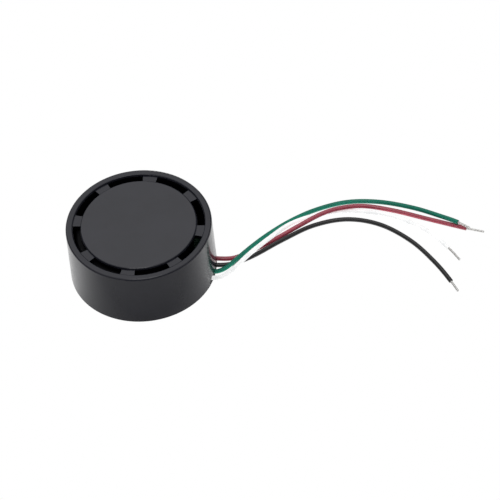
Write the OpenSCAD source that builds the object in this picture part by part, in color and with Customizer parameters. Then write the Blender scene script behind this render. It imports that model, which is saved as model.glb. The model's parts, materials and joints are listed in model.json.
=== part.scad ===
// Brushless vibration motor in a squat moulded can, with four flying leads.
// Millimetres. The origin is the centre of the flat underside. +Z is the spin axis.
// The leads leave along +X.
// The base plate carries a bearing tube, a wound stator and a driver board. An outer rotor with an
// eccentric half-ring weight turns on a steel shaft under the vented top of the can.

/* [Housing] */
// Outside diameter of the can
can_d = 24; // [24:0.1:25]
// Overall height of the can
can_h = 10.4; // [10.4:0.1:11]
// Thickness of the side wall
wall_t = 1.1; // [1.0:0.05:1.1]
// Thickness of the top
top_t = 1.0; // [0.8:0.05:1.0]
// Radius of the rounded outer top edge
rim_round = 0.35; // [0.1:0.05:0.4]

/* [Vent ring] */
// Number of vent slots, with a tab between each pair
vent_count = 8; // [6:1:10]
// Width of the tab between two slots
tab_w = 2.25; // [1.8:0.05:3]
// Radius of the flat disc inside the vent ring
disc_r = 9.55; // [9.3:0.05:9.7]
// Outside radius of the groove and its slots, just inside the bore of the can
groove_r = 10.86; // [10.6:0.02:10.86]
// Depth of the groove above the tabs
groove_depth = 0.35; // [0.2:0.05:0.5]
// Radius of the rounded lips on both sides of the groove
lip_round = 0.2; // [0.05:0.01:0.2]

/* [Lead exit] */
// Width of the notch in the wall that the leads leave by
exit_w = 6; // [5.8:0.1:6.4]
// Height of that notch
exit_h = 1.3; // [1.2:0.05:1.5]
// Distance between neighbouring leads in the notch
lead_pitch = 1.4; // [1.2:0.05:1.4]
// Sideways shift of the row of leads
lead_shift = 0.3; // [0:0.05:0.3]
// Height of the lead centres in the notch
lead_z = 0.6; // [0.6:0.01:0.65]

/* [Leads] */
// Outside diameter of the insulation
lead_d = 0.75; // [0.5:0.05:0.75]
// Diameter of the tinned conductor
core_d = 0.38; // [0.2:0.02:0.38]
// Longest step along a lead
lead_step = 1.3; // [1:0.1:3]

/* [Motor] */
// Number of stator teeth and coils
tooth_count = 6; // [4:1:6]
// Radius of the stator
stator_r = 6.6; // [6.4:0.05:6.7]
// Number of laminations in the stator core
lamination_count = 8; // [4:1:8]
// Diameter of the rotor shaft
shaft_d = 1.5; // [1.2:0.1:1.5]
// Running clearance between shaft and bearing, on the radius
shaft_gap = 0.02; // [0.01:0.01:0.05]
// Angle covered by the eccentric weight
weight_angle = 170; // [120:5:180]
// Clearance between the weight and the wall
weight_gap = 0.5; // [0.3:0.05:0.8]

/* [Hidden] */
$fn = 96;
cut = 0.5;   // how far a cutting shape runs past the face it opens
slip = 0.05; // clearance between parts that drop together
hair = 0.02; // clearance of a close fit

// can
can_r = can_d / 2;
bore_r = can_r - wall_t;
ceiling_z = can_h - top_t;
vent_mid_r = (disc_r + groove_r) / 2;
tab_angle = 2 * asin(tab_w / 2 / vent_mid_r);
stop_z = 1.75; // underside of the ring inside the can that holds the board down
stop_h = 0.45;
stop_w = 0.3;

// base plate
plate_r = bore_r - slip;
plate_t = 0.8;
ledge_z = 1.1;  // the board rests at this height
ledge_w = 0.8;
ledge_root = 0.1; // how far the ledge reaches down into the plate
boss_r = 2.9;
boss_z = 2.9;   // the stator rests at this height
seat_z = 0.3;   // floor of the blind hole that holds the bearing tube
floor_t = 0.22; // what is left under the leads
channel_x = 6.7;

// bearing
tube_r = 2.0;
tube_wall = 0.5;
tube_top = 6.5;
pad_t = 0.15;
shaft_r = shaft_d / 2;
shaft_z = seat_z + pad_t + hair;
shaft_chamfer = 0.12;
ring_z = shaft_z + slip;  // retaining ring
ring_t = 0.14;
ring_w = 0.45;            // how far the retaining ring stands out from the shaft
ring_groove_depth = 0.2;
ring_groove_r = shaft_r - ring_groove_depth;
bearing_z = 0.75;
washer_z = tube_top + hair;
washer_t = 0.2;

// stator
insulator_t = 0.3;
core_z = boss_z + insulator_t;
core_h = 2.8;
varnish_t = 0.02; // gap between laminations
yoke_r = 3.3;
tooth_w = 1.5;
shoe_t = 0.55;
shoe_angle = 0.8 * 360 / tooth_count;
insulator_r = 3.9;
insulator_tooth_w = 2.1;
coil_in_r = 4.1;
coil_out_r = stator_r - shoe_t - 0.1;
coil_build = 0.38;
coil_window_w = insulator_tooth_w + slip;
coil_window_h = core_h + 2 * insulator_t + 2 * hair;
coil_window_round = 0.05;
coil_z = core_z + core_h / 2;
pin_count = 3;
pin_r = 0.2;
pin_ring_r = 3.6;
pin_start = 180 / tooth_count;
pin_z = 0.95;

// board
board_t = 0.6;
board_r = bore_r - 0.15;
board_top = ledge_z + board_t;
chip_z = board_top + hair;
driver_size = [3, 3, 0.55];
driver_place = [5.4, 140]; // distance from the axis, and direction
hall_size = [1.3, 2.9, 0.5];
hall_place = [7.5, 200];
hall_leg_size = [0.6, 0.4, 0.25];
hall_leg_reach = 0.85;
hall_leg_spread = 0.95;
chip_row_r = 9.4;
capacitor_size = [0.8, 1.6, 0.6];
capacitor_angles = [70, 100, 235, 260];
resistor_size = [0.5, 1.0, 0.35];
resistor_angles = [85, 112, 247, 285];

// lead joints
lead_count = 4;
pad_x = 7.6;            // where each conductor meets the board
bare_start = 0.5;       // conductor inside the pad
insulation_start = 0.8; // from the middle of the pad to the cut insulation
wall_clear = 0.2;       // straight run of the leads past the wall
solder_r = 0.66;
solder_rise = 0.1;      // how far the middle of each bead is below the board
pin_solder_r = 0.45;
pin_solder_t = 0.12;
sealant_gap = 0.07;     // between a lead and the adhesive round it
lead_sides = 16;

// rotor
hub_r = 1.8;
hub_z = washer_z + washer_t + hair;
hub_top = 8.3;
flange_r = 2.8;
flange_z = 7.0;
stake_r = 2.2;
stake_t = 0.15;
shaft_end = 0.3;      // how far the shaft stands out of the hub
cup_r = 8.6;
cup_wall = 0.5;
cup_z = 2.4;
cup_top_z = 7.4;      // underside of the cup's top
cup_t = 0.55;
cup_round = 0.4;
cup_top = cup_top_z + cup_t;
magnet_z = 2.6;
magnet_top = 6.9;
magnet_r = 6.95;
weight_r = bore_r - weight_gap;
weight_in_r = 3.2;
weight_t = 0.9;
weight_z = 3.4;
weight_skirt_r = cup_r + 0.1;
weight_round = 0.4;
weight_dir = 180;     // direction of the heavy side at rest
rivet_r = 0.4;
rivet_head_r = 0.75;
rivet_head_t = 0.25;
rivet_ring_r = 5.6;
rivet_angle = 50;

// ---------- helpers ----------

module disc(r, z0, z1) {
    translate([0, 0, z0]) cylinder(r = r, h = z1 - z0);
}

module ring(r_out, r_in, z0, z1) {
    difference() {
        disc(r_out, z0, z1);
        disc(r_in, z0 - cut, z1 + cut);
    }
}

module around(count, radius = 0, start = 0) {
    for (i = [0 : count - 1])
        rotate(start + i * 360 / count) translate([radius, 0, 0]) children();
}

// a centred block standing on z0
module block(size, z0 = 0) {
    translate([-size.x / 2, -size.y / 2, z0]) cube(size);
}

// the rectangle between two corners
module span(low, high) {
    translate(low) square(high - low);
}

module rounded_rect(w, h, r) {
    square([w - 2 * r, h], center = true);
    square([w, h - 2 * r], center = true);
    for (x = [-1, 1], y = [-1, 1])
        translate([x * (w / 2 - r), y * (h / 2 - r)]) circle(r);
}

// the sliver that rounds a convex corner: the corner is at the origin, and the body lies along side * x
// and below
module corner_sliver(r, side) {
    difference() {
        translate([side > 0 ? 0 : -r, -r]) square([r, r + cut]);
        translate([side * r, -r]) circle(r);
    }
}

// ---------- can ----------

module shell_section() {
    difference() {
        union() {
            span([bore_r, 0], [can_r, can_h - rim_round]);
            span([0, ceiling_z], [can_r - rim_round, can_h]);
            translate([can_r - rim_round, can_h - rim_round]) circle(rim_round);
            span([bore_r - stop_w, stop_z], [bore_r + stop_w, stop_z + stop_h]);
        }
        span([disc_r, can_h - groove_depth], [groove_r, can_h + cut]);
        translate([disc_r, can_h]) corner_sliver(lip_round, -1);
        translate([groove_r, can_h]) corner_sliver(lip_round, 1);
    }
}

// one slot, a hair narrower than the groove on both sides
module vent_slot() {
    rotate(tab_angle / 2)
        rotate_extrude(angle = 360 / vent_count - tab_angle)
            span([disc_r + hair, ceiling_z - cut], [groove_r - hair, can_h]);
}

// the notch shape, running out along +X from x0 to x1
module exit_block(x0, x1, z0, gap = 0) {
    width = exit_w - 2 * gap;
    translate([x0, -width / 2, z0]) cube([x1 - x0, width, exit_h - gap - z0]);
}

module housing_shell() {
    color([0.27, 0.27, 0.29]) difference() {
        rotate_extrude() shell_section();
        around(vent_count) vent_slot();
        exit_block(bore_r - wall_t, can_r + cut, -cut);
    }
}

module base_plate() {
    color([0.2, 0.2, 0.21]) difference() {
        union() {
            disc(plate_r, 0, plate_t);
            ring(board_r - hair, board_r - ledge_w, plate_t - ledge_root, ledge_z);
            disc(boss_r, 0, boss_z);
            intersection() {
                disc(can_r - hair, 0, floor_t);
                exit_block(bore_r - wall_t, can_r, 0, slip);
            }
        }
        disc(tube_r, seat_z, boss_z + cut);
        translate([channel_x, 0, 0]) exit_block(0, can_r, floor_t, slip);
    }
}

// the bead of adhesive that seals the leads in the notch
module lead_sealant() {
    bead_in = bore_r + slip;
    color([0.12, 0.12, 0.13]) difference() {
        intersection() {
            disc(can_r - 2 * slip, 0, exit_h);
            exit_block(bead_in, can_r, floor_t + hair, hair);
        }
        for (i = [0 : lead_count - 1])
            translate([bead_in - cut, lead_y(i), lead_z])
                rotate([0, 90, 0]) cylinder(d = lead_d + 2 * sealant_gap, h = wall_t + 2 * cut);
    }
}

// ---------- bearing and stator ----------

module bearing_tube() {
    color([0.78, 0.62, 0.32]) ring(tube_r, tube_r - tube_wall, seat_z, tube_top);
}

module sleeve_bearing() {
    color([0.6, 0.44, 0.26]) ring(tube_r - tube_wall, shaft_r + shaft_gap, bearing_z, tube_top);
}

module thrust_pad() {
    color([0.9, 0.9, 0.86]) disc(tube_r - tube_wall - slip, seat_z, seat_z + pad_t);
}

module thrust_washer() {
    color([0.85, 0.8, 0.6]) ring(tube_r - 2 * slip, shaft_r + slip, washer_z, washer_z + washer_t);
}

module lamination_outline() {
    root = yoke_r - 1;
    difference() {
        union() {
            circle(yoke_r);
            around(tooth_count) span([root, -tooth_w / 2], [stator_r - shoe_t / 2, tooth_w / 2]);
            intersection() {
                difference() {
                    circle(stator_r);
                    circle(stator_r - shoe_t);
                }
                around(tooth_count) polygon([
                    [0, 0],
                    2 * stator_r * [cos(shoe_angle / 2), -sin(shoe_angle / 2)],
                    2 * stator_r * [cos(shoe_angle / 2), sin(shoe_angle / 2)]
                ]);
            }
        }
        circle(tube_r);
    }
}

module stator_core() {
    pitch = core_h / lamination_count;
    color([0.55, 0.56, 0.58])
        for (i = [0 : lamination_count - 1])
            translate([0, 0, core_z + i * pitch + varnish_t / 2])
                linear_extrude(pitch - varnish_t) lamination_outline();
}

module insulator(z0) {
    color([0.86, 0.85, 0.8]) translate([0, 0, z0]) linear_extrude(insulator_t) difference() {
        union() {
            circle(insulator_r);
            around(tooth_count) span([yoke_r, -insulator_tooth_w / 2], [coil_out_r, insulator_tooth_w / 2]);
        }
        circle(tube_r);
        around(pin_count, pin_ring_r, pin_start) circle(pin_r + hair);
    }
}

module stator_insulator_top() {
    insulator(core_z + core_h);
}

module stator_insulator_bottom() {
    insulator(boss_z);
}

// the coil's section grown by build all round its window
module coil_outline(build) {
    rounded_rect(coil_window_w + 2 * build, coil_window_h + 2 * build, coil_window_round + build);
}

module coil() {
    length = coil_out_r - coil_in_r;
    translate([coil_in_r, 0, coil_z]) rotate([90, 0, 90]) linear_extrude(length) difference() {
        coil_outline(coil_build);
        coil_outline(0);
    }
}

module stator_coils() {
    color([0.72, 0.38, 0.18]) around(tooth_count) coil();
}

module winding_pins() {
    color([0.8, 0.8, 0.8])
        around(pin_count, pin_ring_r, pin_start) disc(pin_r, pin_z, boss_z + insulator_t);
}

// ---------- board ----------

module circuit_board() {
    color([0.05, 0.2, 0.12]) difference() {
        ring(board_r, boss_r + 3 * slip, ledge_z, board_top);
        around(pin_count, pin_ring_r, pin_start) disc(pin_r + slip, ledge_z - cut, board_top + cut);
    }
}

// places its children at [distance from the axis, direction]
module at_polar(place) {
    rotate(place[1]) translate([place[0], 0, 0]) children();
}

module driver_chip() {
    color([0.1, 0.1, 0.1]) at_polar(driver_place) block(driver_size, chip_z);
}

module hall_sensor() {
    color([0.1, 0.1, 0.1]) at_polar(hall_place) {
        block(hall_size, chip_z + slip);
        for (leg = [[-1, 0], [1, -1], [1, 1]])
            translate([leg.x * hall_leg_reach, leg.y * hall_leg_spread]) block(hall_leg_size, chip_z);
    }
}

module chip_capacitors() {
    color([0.7, 0.58, 0.42])
        for (angle = capacitor_angles) at_polar([chip_row_r, angle]) block(capacitor_size, chip_z);
}

module chip_resistors() {
    color([0.12, 0.12, 0.13])
        for (angle = resistor_angles) at_polar([chip_row_r, angle]) block(resistor_size, chip_z);
}

module solder_joints() {
    color([0.75, 0.76, 0.78]) {
        for (i = [0 : lead_count - 1]) difference() {
            intersection() {
                translate([pad_x, lead_y(i), ledge_z - solder_rise]) sphere(solder_r);
                disc(can_r, 0, ledge_z);
            }
            translate([pad_x - 2 * solder_r, lead_y(i), lead_z])
                rotate([0, 90, 0]) cylinder(d = core_d + hair, h = 4 * solder_r);
        }
        around(pin_count, pin_ring_r, pin_start) ring(pin_solder_r, pin_r, ledge_z - pin_solder_t, ledge_z);
    }
}

// ---------- leads ----------

function lead_y(i) = lead_shift + ((lead_count - 1) / 2 - i) * lead_pitch;

// way points of each lead outside the can, from the wall to the stripped tip: [x, y, height of the centre]
red_route = [
    [14.4, 2.9, 0.42], [17.3, 4.85, 0.42], [20.85, 7.93, 0.4], [24.0, 10.5, 0.83], [27.5, 13.2, 1.25],
    [30.2, 14.67, 1.25], [33.8, 15.73, 1.0], [38.5, 15.8, 0.46], [45.0, 14.5, 0.41], [51.5, 13.18, 0.41],
    [54.5, 12.7, 0.41]
];
black_route = [
    [14.3, 1.6, 0.42], [17.2, 3.4, 0.41], [21.8, 7.6, 0.41], [26.4, 11.25, 0.41], [31.5, 13.1, 0.41],
    [37.0, 12.6, 0.41], [42.8, 9.6, 0.41], [47.6, 5.3, 0.41], [50.8, 1.6, 0.41], [52.3, -0.4, 0.41]
];
green_route = [
    [13.7, 0.3, 0.9], [15.1, 1.9, 1.25], [17.0, 4.7, 1.25], [19.2, 7.9, 0.95], [22.4, 11.7, 0.52],
    [26.1, 14.6, 0.42], [30.9, 16.8, 0.41], [36.2, 17.4, 0.41], [42.0, 16.7, 0.42], [46.5, 15.2, 0.75],
    [50.1, 13.6, 1.25], [52.2, 12.6, 1.2]
];
white_route = [
    [13.5, -1.5, 0.8], [15.3, 0.45, 1.2], [17.15, 3.45, 1.25], [19.8, 7.1, 1.25], [22.4, 10.6, 0.85],
    [25.6, 13.1, 0.42], [30.0, 14.7, 0.41], [34.5, 15.0, 0.41], [39.5, 14.4, 0.41], [45.0, 12.0, 0.41],
    [49.3, 8.6, 0.41], [51.5, 6.3, 0.41]
];

// every way point of lead i: pad, start of the insulation, wall, route
function way_points(i, route) = concat(
    [for (x = [pad_x - bare_start, pad_x + insulation_start, can_r + wall_clear]) [x, lead_y(i), lead_z]],
    route
);

// the point at share s between p1 and p2 on the centripetal spline through p0, p1, p2 and p3
function spline_point(p0, p1, p2, p3, s) =
    let (
        t1 = sqrt(norm(p1 - p0)),
        t2 = t1 + sqrt(norm(p2 - p1)),
        t3 = t2 + sqrt(norm(p3 - p2)),
        t = t1 + s * (t2 - t1),
        a1 = (p0 * (t1 - t) + p1 * t) / t1,
        a2 = (p1 * (t2 - t) + p2 * (t - t1)) / (t2 - t1),
        a3 = (p2 * (t3 - t) + p3 * (t - t2)) / (t3 - t2),
        b1 = (a1 * (t2 - t) + a2 * t) / t2,
        b2 = (a2 * (t3 - t) + a3 * (t - t1)) / (t3 - t1)
    )
    (b1 * (t2 - t) + b2 * (t - t1)) / (t2 - t1);

// the centre line through way points first to last of points, in steps of at most lead_step
function centre_line(points, first, last) =
    let (
        end = len(points) - 1,
        before = 2 * points[0] - points[1],
        after = 2 * points[end] - points[end - 1],
        all = concat([before], points, [after])
    )
    concat(
        [for (i = [first : last - 1])
            let (steps = ceil(norm(points[i + 1] - points[i]) / lead_step))
            for (k = [0 : steps - 1])
                spline_point(all[i], all[i + 1], all[i + 2], all[i + 3], k / steps)],
        [points[last]]
    );

// a ring of corners with the given radius round each point of a centre line
function rings(line, radius, sides) =
    [for (i = [0 : len(line) - 1])
        let (
            along = line[min(i + 1, len(line) - 1)] - line[max(i - 1, 0)],
            side = cross(along, [0, 0, 1]) / norm(cross(along, [0, 0, 1])),
            up = cross(side, along) / norm(along)
        )
        for (k = [0 : sides - 1])
            line[i] + radius * (cos(360 * k / sides) * side + sin(360 * k / sides) * up)];

// the faces between rings of corners, starting at corner number base
function skin(count, sides, base, outward) =
    [for (i = [0 : count - 2], k = [0 : sides - 1])
        let (
            next = (k + 1) % sides,
            a = base + i * sides,
            quad = [a + k, a + next, a + sides + next, a + sides + k]
        )
        outward ? quad : [quad[3], quad[2], quad[1], quad[0]]];

// a solid rod along a centre line
module rod(line, radius, sides) {
    count = len(line);
    last = (count - 1) * sides;
    polyhedron(
        rings(line, radius, sides),
        concat(
            skin(count, sides, 0, true),
            [[for (k = [sides - 1 : -1 : 0]) k]],
            [[for (k = [0 : sides - 1]) last + k]]
        )
    );
}

// a tube along a centre line; its bore has half as many sides as its outside
module hose(line, r_out, r_in, sides) {
    count = len(line);
    inner = count * sides;
    half = sides / 2;
    end_caps = [for (end = [0, 1], k = [0 : half - 1])
        let (
            o = end * (count - 1) * sides,
            n = inner + end * (count - 1) * half,
            o0 = o + 2 * k,
            o1 = o0 + 1,
            o2 = o + (2 * k + 2) % sides,
            n0 = n + k,
            n1 = n + (k + 1) % half
        )
        for (f = [[n0, o0, o1], [n0, o1, n1], [n1, o1, o2]])
            end == 1 ? f : [f[2], f[1], f[0]]];
    polyhedron(
        concat(rings(line, r_out, sides), rings(line, r_in, half)),
        concat(skin(count, sides, 0, true), skin(count, half, inner, false), end_caps)
    );
}

// the insulation of lead i, from inside the can to its cut end
module insulation(i, route) {
    points = way_points(i, route);
    hose(centre_line(points, 1, len(points) - 2), lead_d / 2, core_d / 2 + hair / 2, lead_sides);
}

// the conductor of lead i, from its pad to its tip
module conductor(i, route) {
    points = way_points(i, route);
    color([0.76, 0.76, 0.78]) rod(centre_line(points, 0, len(points) - 1), core_d / 2, lead_sides / 2);
}

module lead_red() {
    color([0.62, 0.16, 0.22]) insulation(0, red_route);
}

module lead_black() {
    color([0.14, 0.14, 0.15]) insulation(1, black_route);
}

module lead_green() {
    color([0.1, 0.42, 0.35]) insulation(2, green_route);
}

module lead_white() {
    color([0.94, 0.94, 0.93]) insulation(3, white_route);
}

module conductor_red() {
    conductor(0, red_route);
}

module conductor_black() {
    conductor(1, black_route);
}

module conductor_green() {
    conductor(2, green_route);
}

module conductor_white() {
    conductor(3, white_route);
}

// ---------- rotor ----------

module rotor_shaft() {
    shoulder_z = hub_top + shaft_end - shaft_chamfer;
    color([0.8, 0.8, 0.82]) difference() {
        union() {
            disc(shaft_r, shaft_z, shoulder_z);
            translate([0, 0, shoulder_z])
                cylinder(r1 = shaft_r, r2 = shaft_r - shaft_chamfer, h = shaft_chamfer);
        }
        ring(shaft_r + cut, ring_groove_r, ring_z - hair, ring_z + ring_t + hair);
    }
}

module retaining_ring() {
    color([0.5, 0.5, 0.52]) difference() {
        ring(shaft_r + ring_w, ring_groove_r + hair, ring_z, ring_z + ring_t);
        translate([shaft_r, 0, 0]) block([2 * shaft_r, shaft_r, 2 * ring_t + 2 * cut], ring_z - cut);
    }
}

module rotor_hub() {
    color([0.8, 0.64, 0.34]) difference() {
        union() {
            disc(hub_r, hub_z, hub_top);
            disc(flange_r, flange_z, cup_top_z);
            disc(stake_r, cup_top, cup_top + stake_t);
        }
        disc(shaft_r, hub_z - cut, hub_top + cut);
    }
}

module cup_section() {
    span([hub_r, cup_top_z], [cup_r - cup_round, cup_top]);
    span([cup_r - cup_wall, cup_z], [cup_r, cup_top - cup_round]);
    translate([cup_r - cup_round, cup_top - cup_round]) circle(cup_round);
}

// places its children at the three rivets
module rivet_places() {
    for (a = [-1 : 1]) rotate(weight_dir + a * rivet_angle) translate([rivet_ring_r, 0, 0]) children();
}

module rotor_cup() {
    color([0.14, 0.14, 0.15]) difference() {
        rotate_extrude() cup_section();
        rivet_places() disc(rivet_r, cup_top_z - cut, cup_top + cut);
    }
}

module ring_magnet() {
    color([0.3, 0.3, 0.32]) ring(cup_r - cup_wall, magnet_r, magnet_z, magnet_top);
}

module weight_section() {
    top = cup_top + weight_t;
    span([weight_in_r, cup_top], [weight_r - weight_round, top]);
    span([weight_skirt_r, weight_z], [weight_r, top - weight_round]);
    translate([weight_r - weight_round, top - weight_round]) circle(weight_round);
}

module eccentric_weight() {
    color([0.16, 0.16, 0.17]) difference() {
        rotate(weight_dir - weight_angle / 2) rotate_extrude(angle = weight_angle) weight_section();
        rivet_places() disc(rivet_r, cup_top - cut, cup_top + weight_t + cut);
    }
}

module weight_rivets() {
    color([0.22, 0.22, 0.24]) rivet_places() {
        disc(rivet_r, cup_top_z - rivet_head_t, cup_top + weight_t + rivet_head_t);
        disc(rivet_head_r, cup_top_z - rivet_head_t, cup_top_z);
        disc(rivet_head_r, cup_top + weight_t, cup_top + weight_t + rivet_head_t);
    }
}

housing_shell();
base_plate();
bearing_tube();
sleeve_bearing();
thrust_pad();
thrust_washer();
stator_core();
stator_insulator_top();
stator_insulator_bottom();
stator_coils();
winding_pins();
circuit_board();
driver_chip();
hall_sensor();
chip_capacitors();
chip_resistors();
solder_joints();
lead_sealant();
lead_red();
lead_black();
lead_green();
lead_white();
conductor_red();
conductor_black();
conductor_green();
conductor_white();
rotor_shaft();
rotor_hub();
rotor_cup();
ring_magnet();
eccentric_weight();
weight_rivets();
retaining_ring();
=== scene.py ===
"""Looks for the round brushless vibration motor: materials, swept leads, stranded tips, light and camera.

Everything is in metres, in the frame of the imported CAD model: the origin is the centre of the underside,
+Z is the spin axis and the leads leave along +X.
"""
import json
import math

import bpy
import numpy as np
from mathutils import Matrix, Vector


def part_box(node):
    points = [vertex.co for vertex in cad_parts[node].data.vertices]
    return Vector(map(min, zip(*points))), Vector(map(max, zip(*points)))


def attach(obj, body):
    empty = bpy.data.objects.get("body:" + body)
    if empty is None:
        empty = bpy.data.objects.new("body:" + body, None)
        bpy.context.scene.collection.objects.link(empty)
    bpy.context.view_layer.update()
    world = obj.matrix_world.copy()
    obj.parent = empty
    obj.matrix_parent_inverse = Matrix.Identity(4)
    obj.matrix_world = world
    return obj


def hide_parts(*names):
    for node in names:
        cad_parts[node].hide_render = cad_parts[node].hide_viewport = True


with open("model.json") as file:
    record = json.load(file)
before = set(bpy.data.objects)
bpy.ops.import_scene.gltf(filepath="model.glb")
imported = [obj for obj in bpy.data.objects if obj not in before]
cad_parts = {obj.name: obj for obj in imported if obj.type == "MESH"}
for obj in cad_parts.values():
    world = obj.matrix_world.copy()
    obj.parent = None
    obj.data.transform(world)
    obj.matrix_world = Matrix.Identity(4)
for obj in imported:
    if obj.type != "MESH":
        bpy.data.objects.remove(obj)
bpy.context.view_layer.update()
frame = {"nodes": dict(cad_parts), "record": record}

MM = 0.001
NODES = frame["nodes"]
MOUNTS = {mount["name"]: mount for mount in frame["record"]["mounts"]}
LEAD_COLOURS = ("red", "black", "green", "white")


# ---------------------------------------------------------------- shader helpers

class Shader:
    """A small wrapper round one material's nodes: node() adds one, and feed() sets an input or links it."""

    def __init__(self, name):
        self.material = bpy.data.materials.new(name)
        self.material.use_nodes = True
        self.tree = self.material.node_tree
        self.surface = self.tree.nodes["Principled BSDF"]
        self.position = self.node("ShaderNodeTexCoord").outputs["Object"]

    def node(self, kind, inputs=None, **settings):
        made = self.tree.nodes.new(kind)
        for key, value in settings.items():
            setattr(made, key, value)
        for key, value in (inputs or {}).items():
            self.feed(made.inputs[key], value)
        return made

    def feed(self, socket, value):
        if isinstance(value, bpy.types.NodeSocket):
            self.tree.links.new(value, socket)
        else:
            socket.default_value = value

    def math(self, operation, a, b=0.0):
        return self.node("ShaderNodeMath", {0: a, 1: b}, operation=operation).outputs[0]

    def noise(self, grain, detail=3.0, vector=None):
        """Noise whose lumps are about grain metres across, or grain units of vector if that is given."""
        made = self.node(
            "ShaderNodeTexNoise", {"Vector": vector or self.position, "Scale": 1 / grain, "Detail": detail}
        )
        return made.outputs["Fac"]

    def ramp(self, factor, low, high, at=(0.3, 0.7)):
        """low to high as factor goes from at[0] to at[1]."""
        made = self.node(
            "ShaderNodeMapRange",
            {"Value": factor, "From Min": at[0], "From Max": at[1], "To Min": low, "To Max": high},
        )
        return made.outputs["Result"]

    def mix(self, factor, a, b):
        made = self.node("ShaderNodeMix", data_type="RGBA")
        self.feed(made.inputs["Factor"], factor)
        self.feed(made.inputs["A"], a)
        self.feed(made.inputs["B"], b)
        return made.outputs["Result"]

    def edge(self, radius):
        """1 on edges sharper than the given radius, 0 on open faces."""
        rounded = self.node("ShaderNodeBevel", {"Radius": radius}, samples=6).outputs["Normal"]
        flat = self.node("ShaderNodeNewGeometry").outputs["Normal"]
        facing = self.node("ShaderNodeVectorMath", {0: rounded, 1: flat}, operation="DOT_PRODUCT")
        return self.ramp(facing.outputs["Value"], 1.0, 0.0, at=(0.9, 0.995))

    def bump(self, height, depth):
        """Makes the surface normal a bump of the given depth in metres."""
        made = self.node("ShaderNodeBump", {"Height": height, "Distance": depth})
        self.feed(self.surface.inputs["Normal"], made.outputs["Normal"])

    def set(self, **inputs):
        """Feeds the surface's inputs, such as base_color for Base Color."""
        for key, value in inputs.items():
            self.feed(self.surface.inputs[key.replace("_", " ").title().replace("Ior", "IOR")], value)


def rgb(r, g, b):
    return (r, g, b, 1.0)


def scaled(colour, factor):
    return tuple(min(1.0, c * factor) for c in colour[:3]) + (1.0,)


# ---------------------------------------------------------------- materials

def moulded_plastic(name, colour, roughness, grain=0.12 * MM, edge_wear_and_highlight=0.5, inside=None, ring=None):
    """Injection-moulded plastic: a fine spark-eroded grain, cloudy flow marks and slightly polished edges. The
    edges are also painted lighter, partly as rubbed wear and partly as a painted highlight.

    inside(shader) gives 1 on surfaces inside a hollow moulding, where the colour is painted dark and the shine
    cut as painted shade. ring(shader) gives 1 on its vent ring, which shines a little less than the rest.
    """
    s = Shader(name)
    flow = s.noise(4 * MM, detail=4)
    fine = s.noise(grain, detail=2)
    edge = s.edge(0.12 * MM)
    tone = s.mix(s.ramp(flow, 0, 1), scaled(colour, 0.9), scaled(colour, 1.12))
    # edges are mixed towards four times the plastic's colour: partly rubbed wear, partly a painted edge highlight
    rubbed = s.math("MULTIPLY", edge, s.ramp(s.noise(0.45 * MM, detail=5), 0, edge_wear_and_highlight, at=(0.42, 0.62)))
    worn_and_highlit = s.mix(rubbed, tone, scaled(colour, 4))
    rough = s.ramp(s.noise(1.1 * MM, detail=5), roughness - 0.03, roughness + 0.04)
    s.set(base_color=worn_and_highlit, roughness=s.math("SUBTRACT", rough, s.math("MULTIPLY", edge, 0.08)))
    if inside:
        # painted shade: inside the can the base colour drops to 0.15 of the plastic's and the shine is cut,
        # standing in for the shade in the recess
        painted_shade = inside(s)
        s.set(base_color=s.mix(painted_shade, worn_and_highlit, scaled(colour, 0.15)))
        shine = s.math("SUBTRACT", 0.5, s.math("MULTIPLY", ring(s), 0.1))
        shine = s.math("SUBTRACT", shine, s.math("MULTIPLY", painted_shade, 0.45))
        s.set(specular_ior_level=shine)
    s.bump(fine, 0.004 * MM)
    return s.material


def insulation(name, colour, roughness=0.3, soft=0.0, specular=0.5, glow=0.0, depth=0.001 * MM):
    """Extruded wire insulation: faint lines along the wire, handling marks and a waxy sheen. glow makes it give
    off light in its own colour: a painted glow that lightens it.
    """
    s = Shader(name)
    along = s.node("ShaderNodeUVMap", uv_map="sweep").outputs["UV"]
    stretched = s.node("ShaderNodeMapping", {"Vector": along, "Scale": (14.0, 0.4, 1.0)}).outputs["Vector"]
    lines = s.noise(0.8, detail=3, vector=stretched)
    marks = s.noise(1.6 * MM, detail=4)
    tone = s.mix(s.ramp(marks, 0, 1), scaled(colour, 0.88), scaled(colour, 1.1))
    s.set(base_color=tone, roughness=s.ramp(marks, roughness - 0.05, roughness + 0.08))
    s.set(specular_ior_level=specular, subsurface_weight=soft)
    s.set(subsurface_scale=0.25 * MM, emission_color=tone, emission_strength=glow)
    fine = s.noise(0.15 * MM, detail=2)
    s.bump(s.math("ADD", lines, s.math("MULTIPLY", fine, 0.4)), depth)
    return s.material


def plain_metal(name, colour, roughness, grain=0.25 * MM, depth=0.002 * MM, tarnish=0.75):
    """Metal with cloudy tarnish, uneven polish and brighter edges."""
    s = Shader(name)
    cloud = s.noise(grain * 6, detail=5)
    edge = s.edge(0.05 * MM)
    tone = s.mix(s.ramp(cloud, 0, 1), scaled(colour, tarnish), colour)
    s.set(
        base_color=s.mix(s.math("MULTIPLY", edge, 0.6), tone, scaled(colour, 1.3)),
        metallic=1.0,
        roughness=s.ramp(cloud, roughness + 0.1, roughness - 0.05),
    )
    s.bump(s.noise(grain, detail=3), depth)
    return s.material


def radius_and_height(s):
    """Two sockets: distance from the spin axis, and height, in metres."""
    parts = s.node("ShaderNodeSeparateXYZ", {"Vector": s.position})
    flat = s.node("ShaderNodeCombineXYZ", {"X": parts.outputs["X"], "Y": parts.outputs["Y"]})
    length = s.node("ShaderNodeVectorMath", {0: flat.outputs["Vector"]}, operation="LENGTH")
    return length.outputs["Value"], parts.outputs["Z"]


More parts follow.
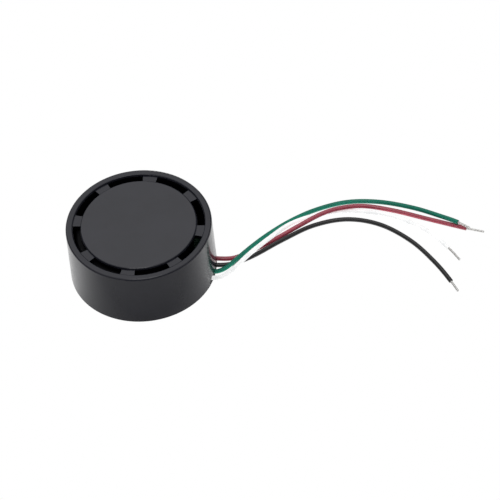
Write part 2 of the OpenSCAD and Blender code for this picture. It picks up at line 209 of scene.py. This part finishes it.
def grooves(s, distance, pitch):
    """A wave, 0 to 1, that repeats every pitch metres of distance."""
    turns = s.math("MULTIPLY", distance, 2 * math.pi / pitch)
    return s.math("MULTIPLY", s.math("ADD", s.math("SINE", turns), 1.0), 0.5)


def painted_shade_in_can(s):
    """1 below the floor of the vent groove and inside the can's wall, 0 elsewhere: where the housing is painted
    in shade.
    """
    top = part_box("housing_shell")[1]
    radius, height = radius_and_height(s)
    within = s.math("LESS_THAN", radius, top[0] - 1.0 * MM)
    below = s.math("LESS_THAN", height, top[2] - 0.4 * MM)
    return s.math("MULTIPLY", within, below)


def vent_ring(s):
    """1 on the rim and the tabs, which came off a duller mould face than the disc and the wall, 0 elsewhere."""
    radius, _ = radius_and_height(s)
    beyond_disc = s.math("GREATER_THAN", radius, 9.5 * MM)
    within_wall = s.math("LESS_THAN", radius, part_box("housing_shell")[1].x - 0.35 * MM)
    return s.math("MULTIPLY", beyond_disc, within_wall)


def turned_metal(name, colour, roughness, pitch=0.06 * MM):
    """Metal off the lathe: fine tool marks that run round the spin axis."""
    s = Shader(name)
    radius, height = radius_and_height(s)
    marks = grooves(s, s.math("ADD", radius, height), pitch)
    cloud = s.noise(0.9 * MM, detail=4)
    tone = s.mix(s.ramp(cloud, 0, 1), scaled(colour, 0.72), colour)
    s.set(base_color=tone, metallic=1.0, roughness=s.ramp(cloud, roughness + 0.08, roughness - 0.04))
    s.bump(s.math("ADD", marks, s.math("MULTIPLY", cloud, 0.5)), 0.003 * MM)
    return s.material


def sintered_bronze():
    """Oil-filled sintered bronze: open pores and dark oil stains."""
    s = Shader("sintered_bronze")
    pores = s.node("ShaderNodeTexVoronoi", {"Vector": s.position, "Scale": 1 / (0.09 * MM)}).outputs["Distance"]
    stain = s.noise(0.8 * MM, detail=4)
    pit = s.ramp(pores, 0, 1, at=(0.12, 0.4))
    clean = s.mix(s.ramp(stain, 0, 1), rgb(0.3, 0.19, 0.09), rgb(0.55, 0.37, 0.18))
    s.set(base_color=s.mix(pit, rgb(0.07, 0.05, 0.03), clean), metallic=0.9, roughness=s.ramp(stain, 0.3, 0.55))
    s.bump(pit, 0.01 * MM)
    return s.material


def laminated_steel():
    """A stack of stamped sheets: burnished cut edges and bluish annealing colours."""
    s = Shader("laminated_steel")
    _, height = radius_and_height(s)
    stripes = grooves(s, height, 0.35 * MM)
    cloud = s.noise(1.4 * MM, detail=4)
    tone = s.mix(s.ramp(cloud, 0, 1), rgb(0.2, 0.23, 0.3), rgb(0.48, 0.48, 0.49))
    s.set(base_color=s.mix(s.math("MULTIPLY", stripes, 0.3), tone, rgb(0.12, 0.12, 0.13)), metallic=1.0,
          roughness=s.ramp(cloud, 0.5, 0.32))
    s.bump(s.math("ADD", stripes, s.math("MULTIPLY", s.noise(0.1 * MM), 0.5)), 0.006 * MM)
    return s.material


def magnet_wire():
    """Enamelled copper wound in layers: the turns show as ridges across each coil."""
    s = Shader("magnet_wire")
    radius, _ = radius_and_height(s)
    wobble = s.math("MULTIPLY", s.noise(0.7 * MM, detail=2), 0.05 * MM)
    turns = grooves(s, s.math("ADD", radius, wobble), 0.11 * MM)
    # the troughs between the turns are painted dark brown: painted shade between the wires
    tone = s.mix(turns, rgb(0.16, 0.04, 0.015), rgb(0.72, 0.3, 0.12))
    s.set(base_color=tone, metallic=0.75, roughness=s.ramp(s.noise(0.6 * MM, detail=4), 0.2, 0.36),
          coat_weight=0.6, coat_roughness=0.12)
    s.bump(turns, 0.03 * MM)
    return s.material


def solder_mask():
    """Circuit board: green mask over raised copper tracks, with a woven laminate showing through."""
    s = Shader("solder_mask")
    tracks = s.node(
        "ShaderNodeTexBrick",
        {"Vector": s.position, "Scale": 1 / (1.6 * MM), "Mortar Size": 0.06, "Mortar Smooth": 0.3},
        offset=0.5,
    ).outputs["Fac"]
    weave_x = s.node("ShaderNodeTexWave", {"Vector": s.position, "Scale": 1 / (3 * MM)}, bands_direction="X")
    weave_y = s.node("ShaderNodeTexWave", {"Vector": s.position, "Scale": 1 / (3 * MM)}, bands_direction="Y")
    weave = s.math("MULTIPLY", weave_x.outputs["Fac"], weave_y.outputs["Fac"])
    mask = s.mix(weave, rgb(0.006, 0.024, 0.014), rgb(0.009, 0.036, 0.02))
    s.set(base_color=s.mix(tracks, mask, rgb(0.016, 0.06, 0.032)), roughness=s.ramp(weave, 0.24, 0.34))
    s.bump(s.math("ADD", tracks, s.math("MULTIPLY", weave, 0.2)), 0.02 * MM)
    return s.material


def speckled(name, colour, fleck, roughness, grain, amount=0.5, metallic=0.0, depth=0.004 * MM):
    """Cast or bonded material: a body colour with fine flecks of another."""
    s = Shader(name)
    cells = s.node("ShaderNodeTexVoronoi", {"Vector": s.position, "Scale": 1 / grain}).outputs["Color"]
    flecks = s.math("MULTIPLY", s.ramp(s.node("ShaderNodeSeparateColor", {"Color": cells}).outputs[0], 0, 1,
                                       at=(0.7, 1.0)), amount)
    cloud = s.noise(grain * 14, detail=4)
    tone = s.mix(s.ramp(cloud, 0, 1), scaled(colour, 0.85), scaled(colour, 1.15))
    s.set(base_color=s.mix(flecks, tone, fleck), metallic=metallic,
          roughness=s.ramp(cloud, roughness - 0.05, roughness + 0.08))
    s.bump(s.noise(grain, detail=3), depth)
    return s.material


def black_coating(name):
    """Matt black electro-coat on metal: orange peel, with edges rubbed to grey."""
    s = Shader(name)
    peel = s.noise(0.35 * MM, detail=2)
    edge = s.edge(0.1 * MM)
    rub = s.math("MULTIPLY", edge, s.ramp(s.noise(0.5 * MM, detail=4), 0, 0.5, at=(0.45, 0.6)))
    s.set(base_color=s.mix(rub, rgb(0.005, 0.005, 0.006), rgb(0.05, 0.05, 0.053)),
          roughness=s.ramp(peel, 0.5, 0.65))
    s.set(specular_ior_level=0.1)
    s.bump(peel, 0.01 * MM)
    return s.material


def cured_adhesive():
    """Black silicone: lumpy where it was dispensed, with a soft gloss."""
    s = Shader("cured_adhesive")
    lumps = s.noise(0.8 * MM, detail=2)
    dust = s.noise(0.12 * MM, detail=3)
    s.set(base_color=s.mix(s.ramp(dust, 0, 1, at=(0.5, 0.75)), rgb(0.012, 0.012, 0.013), rgb(0.04, 0.04, 0.04)),
          roughness=s.ramp(lumps, 0.25, 0.45))
    s.bump(lumps, 0.06 * MM)
    return s.material


TINNED = plain_metal("tinned_copper", rgb(0.78, 0.77, 0.75), 0.4, grain=0.06 * MM, depth=0.002 * MM,
                     tarnish=0.85)
BRASS = turned_metal("turned_brass", rgb(0.78, 0.57, 0.25), 0.26)
GROUND_STEEL = turned_metal("ground_steel", rgb(0.6, 0.6, 0.61), 0.18, pitch=0.03 * MM)
OXIDE_STEEL = plain_metal("oxide_steel", rgb(0.06, 0.06, 0.065), 0.4, grain=0.4 * MM)
NYLON = moulded_plastic("natural_nylon", rgb(0.7, 0.67, 0.58), 0.4, edge_wear_and_highlight=0.1)
EPOXY = speckled("chip_epoxy", rgb(0.018, 0.018, 0.019), rgb(0.09, 0.09, 0.09), 0.5, 0.05 * MM)

NODE_MATERIALS = {
    "housing_shell": moulded_plastic("housing_plastic", rgb(0.0205, 0.0212, 0.0305), 0.17, inside=painted_shade_in_can,
                                     ring=vent_ring),
    "base_plate": moulded_plastic("base_plastic", rgb(0.022, 0.022, 0.024), 0.42, grain=0.2 * MM),
    "bearing_tube": BRASS,
    "rotor_hub": BRASS,
    "sleeve_bearing": sintered_bronze(),
    "thrust_pad": NYLON,
    "thrust_washer": NYLON,
    "stator_insulator_top": NYLON,
    "stator_insulator_bottom": NYLON,
    "stator_core": laminated_steel(),
    "stator_coils": magnet_wire(),
    "winding_pins": TINNED,
    "circuit_board": solder_mask(),
    "driver_chip": EPOXY,
    "hall_sensor": EPOXY,
    "chip_resistors": EPOXY,
    "chip_capacitors": speckled("fired_ceramic", rgb(0.42, 0.3, 0.17), rgb(0.6, 0.5, 0.36), 0.45, 0.06 * MM),
    "solder_joints": plain_metal("solder", rgb(0.66, 0.66, 0.67), 0.2, grain=0.15 * MM),
    "lead_sealant": cured_adhesive(),
    "rotor_shaft": GROUND_STEEL,
    "retaining_ring": GROUND_STEEL,
    "weight_rivets": OXIDE_STEEL,
    "rotor_cup": black_coating("coated_steel"),
    "ring_magnet": speckled("bonded_magnet", rgb(0.06, 0.06, 0.065), rgb(0.25, 0.25, 0.26), 0.5, 0.07 * MM,
                            metallic=0.3),
    "eccentric_weight": black_coating("coated_weight"),
}

INSULATION = {
    "red": insulation("insulation_red", rgb(0.45, 0.04, 0.08), specular=0.9, soft=0.1),
    "black": insulation("insulation_black", rgb(0.008, 0.008, 0.009), specular=0.6),
    "green": insulation("insulation_green", rgb(0.001, 0.235, 0.15), specular=0.35, soft=0.05),
    # the white insulation gets a painted glow (emission 0.5) that lightens it to near white
    "white": insulation("insulation_white", rgb(0.93, 0.94, 0.945), 0.5, specular=0.3, glow=0.5,
                        depth=0.0003 * MM),
}


def dress(obj, material):
    obj.data.materials.clear()
    obj.data.materials.append(material)


for node_name, node_material in NODE_MATERIALS.items():
    dress(NODES[node_name], node_material)


# ---------------------------------------------------------------- leads

def centre_line(node, tip, ring_size):
    """The centre line of a swept CAD solid, from the end nearest tip: the mean of each ring of corners.

    The first ring is the ring_size corners nearest tip. Each next ring is what the last one's edges lead to.
    """
    mesh = NODES[node].data
    corner_of, corners = {}, []
    number = []
    for vertex in mesh.vertices:
        key = tuple(round(c / (0.0001 * MM)) for c in vertex.co)
        if key not in corner_of:
            corner_of[key] = len(corners)
            corners.append(vertex.co.copy())
        number.append(corner_of[key])
    near = [set() for _ in corners]
    for edge in mesh.edges:
        a, b = (number[v] for v in edge.vertices)
        near[a].add(b)
        near[b].add(a)
    ring = set(sorted(range(len(corners)), key=lambda i: (corners[i] - tip).length)[:ring_size])
    seen, line = set(ring), []
    while ring:
        line.append(sum((corners[i] for i in ring), Vector()) / len(ring))
        ring = {j for i in ring for j in near[i]} - seen
        seen |= ring
    return np.array([tuple(p) for p in line])


def smooth_line(points, spacing):
    """The points joined by a Catmull-Rom curve, in equal steps of about spacing."""
    padded = np.vstack([2 * points[0] - points[1], points, 2 * points[-1] - points[-2]])
    fine = []
    for p0, p1, p2, p3 in zip(padded, padded[1:], padded[2:], padded[3:]):
        for t in np.arange(8) / 8:
            fine.append(
                0.5 * (2 * p1 + (p2 - p0) * t + (2 * p0 - 5 * p1 + 4 * p2 - p3) * t**2
                       + (3 * p1 - p0 - 3 * p2 + p3) * t**3)
            )
    fine = np.array(fine + [points[-1]])
    reach = np.r_[0, np.cumsum(np.linalg.norm(np.diff(fine, axis=0), axis=1))]
    places = np.linspace(0, reach[-1], max(2, round(reach[-1] / spacing) + 1))
    return np.stack([np.interp(places, reach, fine[:, k]) for k in range(3)], axis=1), places


def frames(line):
    """Two unit vectors across the line at each point, carried along it without twisting."""
    along = np.gradient(line, axis=0)
    along /= np.linalg.norm(along, axis=1)[:, None]
    side = np.cross(along[0], (0, 0, 1.0))
    sides = []
    for direction in along:
        side = side - (side @ direction) * direction
        side /= np.linalg.norm(side)
        sides.append(side)
    sides = np.array(sides)
    return sides, np.cross(sides, along)


def sweep_mesh(line, radii, sides):
    """A solid rod along line with a radius per point and flat ends."""
    side, up = frames(line)
    angle = 2 * math.pi * np.arange(sides) / sides
    ring = np.cos(angle)[None, :, None] * side[:, None] + np.sin(angle)[None, :, None] * up[:, None]
    verts = (line[:, None] + np.asarray(radii)[:, None, None] * ring).reshape(-1, 3)
    faces = [
        (i * sides + k, i * sides + (k + 1) % sides, (i + 1) * sides + (k + 1) % sides, (i + 1) * sides + k)
        for i in range(len(line) - 1)
        for k in range(sides)
    ]
    faces.append(tuple(reversed(range(sides))))
    faces.append(tuple((len(line) - 1) * sides + k for k in range(sides)))
    return verts, faces


def mesh_object(name, parts, material):
    """One object from (verts, faces) parts, shaded smooth apart from its sharp edges."""
    verts, faces, base = [], [], 0
    for part_verts, part_faces in parts:
        verts.extend(map(tuple, part_verts))
        faces.extend(tuple(base + i for i in f) for f in part_faces)
        base += len(part_verts)
    mesh = bpy.data.meshes.new(name)
    mesh.from_pydata(verts, [], faces)
    mesh.update()
    obj = bpy.data.objects.new(name, mesh)
    bpy.context.scene.collection.objects.link(obj)
    dress(obj, material)
    mesh.shade_smooth()
    mesh.set_sharp_from_angle(angle=math.radians(40))
    return obj


INSULATION_SIDES = 32
CORE_SIDES = 20
OUTER_R = 0.375 * MM
CORE_R = 0.19 * MM
CAD_SIDES = 16  # sides of the swept CAD insulation; its bore has half as many, and so has the conductor
STRAND_COUNT = 6
STRAND_R = CORE_R / 3
STRAND_LAY = 3.2 * MM  # length of one turn of the strands


def insulation_mesh(line):
    """The insulation as one closed skin: along the bore to the cut, round its lip and back along the outside.

    Also returns each ring's place, as its distance from the cut and its radius.
    """
    lip = 0.05 * MM
    reach = np.r_[0, np.cumsum(np.linalg.norm(np.diff(line, axis=0), axis=1))]
    bore_r = CORE_R + 0.012 * MM
    steps = np.linspace(0, math.pi / 2, 5)
    # the lip is rounded on both sides of the cut face
    profile = [(lip - lip * math.sin(a), bore_r + lip - lip * math.cos(a)) for a in steps]
    profile += [(lip - lip * math.cos(a), OUTER_R - lip + lip * math.sin(a)) for a in steps]
    side, up = frames(line)

    def ring(at, radius):
        centre = np.array([np.interp(at, reach, line[:, k]) for k in range(3)])
        across = np.array([np.interp(at, reach, side[:, k]) for k in range(3)])
        above = np.array([np.interp(at, reach, up[:, k]) for k in range(3)])
        angle = 2 * math.pi * np.arange(INSULATION_SIDES) / INSULATION_SIDES
        return centre + radius * (np.cos(angle)[:, None] * across + np.sin(angle)[:, None] * above)

    bore = [(at, bore_r) for at in reach[::-1] if at > lip]
    outside = [(at, OUTER_R) for at in reach if at > lip]
    stations = bore + profile + outside
    rings = [ring(at, radius) for at, radius in stations]
    verts = np.vstack(rings)
    n = INSULATION_SIDES
    faces = [
        (i * n + k, i * n + (k + 1) % n, ((i + 1) % len(rings)) * n + (k + 1) % n, ((i + 1) % len(rings)) * n + k)
        for i in range(len(rings))
        for k in range(n)
    ]
    return verts, faces, stations


def build_lead(colour):
    """One lead's insulation and its stranded conductor, both along the centre lines of the CAD lead."""
    tip = Vector(MOUNTS[f"lead_end_{colour}"]["pos_m"])

    cad_line = centre_line(f"lead_{colour}", tip, CAD_SIDES + CAD_SIDES // 2)
    line, _ = smooth_line(cad_line, 0.25 * MM)
    verts, faces, stations = insulation_mesh(line)
    sleeve = mesh_object(f"insulation_{colour}", [(verts, faces)], INSULATION[colour])
    uv = sleeve.data.uv_layers.new(name="sweep")
    for polygon in sleeve.data.polygons:
        corners = [sleeve.data.loops[i].vertex_index for i in polygon.loop_indices]
        around = [v % INSULATION_SIDES for v in corners]
        wraps = max(around) - min(around) > 1
        for loop_index, vertex, k in zip(polygon.loop_indices, corners, around):
            turn = (k + INSULATION_SIDES if wraps and k == 0 else k) / INSULATION_SIDES
            uv.data[loop_index].uv = (turn, stations[vertex // INSULATION_SIDES][0] / MM)
    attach(sleeve, "stator")
    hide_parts(f"lead_{colour}")

    core_line, reach = smooth_line(centre_line(f"conductor_{colour}", tip, CAD_SIDES // 2), 0.12 * MM)
    bare = np.linalg.norm(cad_line[0] - np.array(tip)) + 0.6 * MM
    taper = np.clip(reach / (0.12 * MM), 0.55, 1.0)
    centre_r = np.where(reach < bare, CORE_R - 0.2 * STRAND_R, CORE_R)  # the tinning fills between the strands
    parts = [sweep_mesh(core_line, centre_r * taper, CORE_SIDES)]
    shown = core_line[reach < bare]
    shown_reach = reach[reach < bare]
    side, up = frames(shown)
    for k in range(STRAND_COUNT):
        turn = 2 * math.pi * (shown_reach / STRAND_LAY + k / STRAND_COUNT)
        offset = (CORE_R - STRAND_R) * np.clip(shown_reach / (0.2 * MM) + 0.7, 0.7, 1.0)
        path = shown + offset[:, None] * (np.cos(turn)[:, None] * side + np.sin(turn)[:, None] * up)
        radii = STRAND_R * np.clip(shown_reach / (0.1 * MM), 0.5, 1.0)
        parts.append(sweep_mesh(path, radii, 10))
    core = mesh_object(f"conductor_strands_{colour}", parts, TINNED)
    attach(core, "stator")
    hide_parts(f"conductor_{colour}")


for lead_colour in LEAD_COLOURS:
    build_lead(lead_colour)


# ---------------------------------------------------------------- stage, light and camera

VIEW_AZIMUTH = 15.1  # degrees
VIEW_ELEVATION = 48.55
VIEW_ROLL = -6.99
VIEW_DISTANCE = 1.961
LENS_MM = 862.0
AIM_RIGHT = 17.35 * MM  # the camera looks past the motor's centre by this much, to hold the leads
AIM_UP = 2.66 * MM
VIEW_FORWARD = (-math.sin(math.radians(VIEW_AZIMUTH)), math.cos(math.radians(VIEW_AZIMUTH)), 0)
CARD_LIGHT = 0.52  # glow of the lit card behind the motor
CARD_FRONT, CARD_BACK = -13 * MM, -3 * MM  # depths between which it fades in from the unlit floor in front
SKY_LIGHT = 0.6
HORIZON_LIGHT = 0.0
SKY_LOW, SKY_HIGH = 0.35, 0.65  # sines of the heights between which the horizon turns into sky


def make_floor():
    """A white floor. The camera sees it as pure white, like a cut-out, but it lights the motor as paper would."""
    mesh = bpy.data.meshes.new("floor")
    half = 6.0
    drop = -0.01 * MM
    mesh.from_pydata([(-half, -half, drop), (half, -half, drop), (half, half, drop), (-half, half, drop)], [],
                     [(0, 1, 2, 3)])
    floor = bpy.data.objects.new("floor", mesh)
    bpy.context.scene.collection.objects.link(floor)
    s = Shader("floor_white")
    s.set(base_color=rgb(0.85, 0.85, 0.85), roughness=0.9)
    s.set(specular_ior_level=0.0)
    depth = s.node("ShaderNodeVectorMath", {0: s.position, 1: VIEW_FORWARD}, operation="DOT_PRODUCT")
    s.set(emission_color=rgb(1, 1, 1),
          emission_strength=s.ramp(depth.outputs["Value"], 0.0, CARD_LIGHT, at=(CARD_FRONT, CARD_BACK)))
    glow = s.node("ShaderNodeEmission", {"Color": rgb(1, 1, 1), "Strength": 1.0})
    seen = s.node("ShaderNodeLightPath").outputs["Is Camera Ray"]
    shown = s.node("ShaderNodeMixShader", {0: seen, 1: s.surface.outputs["BSDF"], 2: glow.outputs["Emission"]})
    s.feed(s.tree.nodes["Material Output"].inputs["Surface"], shown.outputs["Shader"])
    dress(floor, s.material)


def make_world():
    """Soft light from above that fades towards the horizon, with the backdrop itself pure white."""
    world = bpy.data.worlds.new("studio")
    world.use_nodes = True
    tree = world.node_tree
    sky = tree.nodes["Background"]

    def node(kind, inputs):
        made = tree.nodes.new(kind)
        for key, value in inputs.items():
            if isinstance(value, bpy.types.NodeSocket):
                tree.links.new(value, made.inputs[key])
            else:
                made.inputs[key].default_value = value
        return made

    direction = node("ShaderNodeTexCoord", {}).outputs["Generated"]
    height = node("ShaderNodeSeparateXYZ", {"Vector": direction}).outputs["Z"]
    glow = node("ShaderNodeMapRange", {"Value": height, "From Min": SKY_LOW, "From Max": SKY_HIGH,
                                       "To Min": HORIZON_LIGHT, "To Max": SKY_LIGHT})
    seen = node("ShaderNodeLightPath", {}).outputs["Is Camera Ray"]
    strength = node("ShaderNodeMix", {"Factor": seen, "A": glow.outputs["Result"], "B": 1.0})
    tree.links.new(strength.outputs["Result"], sky.inputs["Strength"])
    sky.inputs["Color"].default_value = rgb(1, 1, 1)
    bpy.context.scene.world = world


def make_softbox(name, azimuth, elevation, distance, size, radiance):
    """A square soft light that faces the motor; azimuth and elevation are in degrees, 0 azimuth is -Y."""
    light = bpy.data.lights.new(name, "AREA")
    light.shape = "SQUARE"
    light.size = size
    light.energy = radiance * math.pi * size**2
    lamp = bpy.data.objects.new(name, light)
    a, e = math.radians(azimuth), math.radians(elevation)
    lamp.location = distance * Vector((math.sin(a) * math.cos(e), -math.cos(a) * math.cos(e), math.sin(e)))
    lamp.rotation_euler = (-lamp.location).to_track_quat("-Z", "Y").to_euler()
    lamp.visible_camera = False
    bpy.context.scene.collection.objects.link(lamp)


def make_camera():
    """A long lens from the side of the leads, turned a little about its own axis."""
    a, e = math.radians(VIEW_AZIMUTH), math.radians(VIEW_ELEVATION)
    back = Vector((math.sin(a) * math.cos(e), -math.cos(a) * math.cos(e), math.sin(e)))
    level = back.to_track_quat("Z", "Y")
    turn = level @ Matrix.Rotation(math.radians(VIEW_ROLL), 4, "Z").to_quaternion()
    camera = bpy.data.cameras.new("camera")
    camera.lens = LENS_MM
    camera.clip_start, camera.clip_end = 0.1, 50
    rig = bpy.data.objects.new("camera", camera)
    rig.rotation_mode = "QUATERNION"
    rig.rotation_quaternion = turn
    rig.location = VIEW_DISTANCE * back + turn @ Vector((AIM_RIGHT, AIM_UP, 0))
    bpy.context.scene.collection.objects.link(rig)
    bpy.context.scene.camera = rig


make_floor()
make_world()
make_softbox("back_softbox", VIEW_AZIMUTH + 190, 52, 0.6, 0.6, 0.5)
make_softbox("top_softbox", VIEW_AZIMUTH, 75, 0.6, 0.25, 2.2)
make_camera()
bpy.context.scene.view_settings.view_transform = "Standard"
